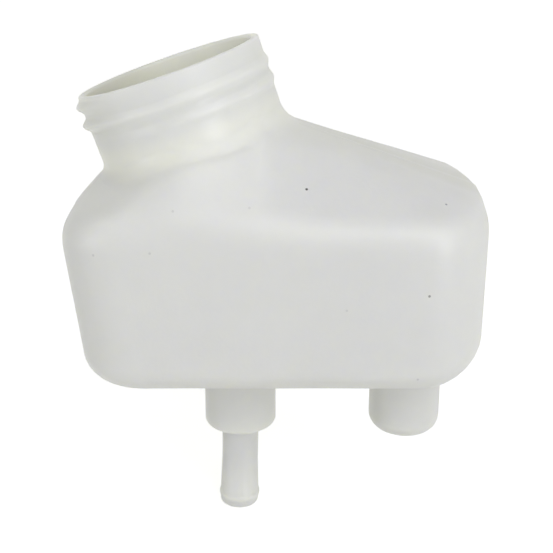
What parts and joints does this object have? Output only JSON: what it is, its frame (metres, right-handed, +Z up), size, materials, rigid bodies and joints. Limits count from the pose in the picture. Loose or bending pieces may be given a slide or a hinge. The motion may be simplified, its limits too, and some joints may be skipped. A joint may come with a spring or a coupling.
{
  "type": "coolant expansion tank",
  "caption": "Blow-moulded coolant expansion tank with a wide threaded filler neck leaning to one side, a hose outlet below and a blunt locating foot.",
  "frame": {"origin": "where the outlet's axis meets the flat underside", "axes": "+Z up, against the way the outlet points; the filler neck leans to -X; the mould parts on the plane y = 0"},
  "size_m": [0.1301, 0.082, 0.1608],
  "materials": {
    "body": "soft satin, milky and slightly translucent"
  },
  "bodies": {
    "root": {"tank": "body"}
  },
  "joints": []
}
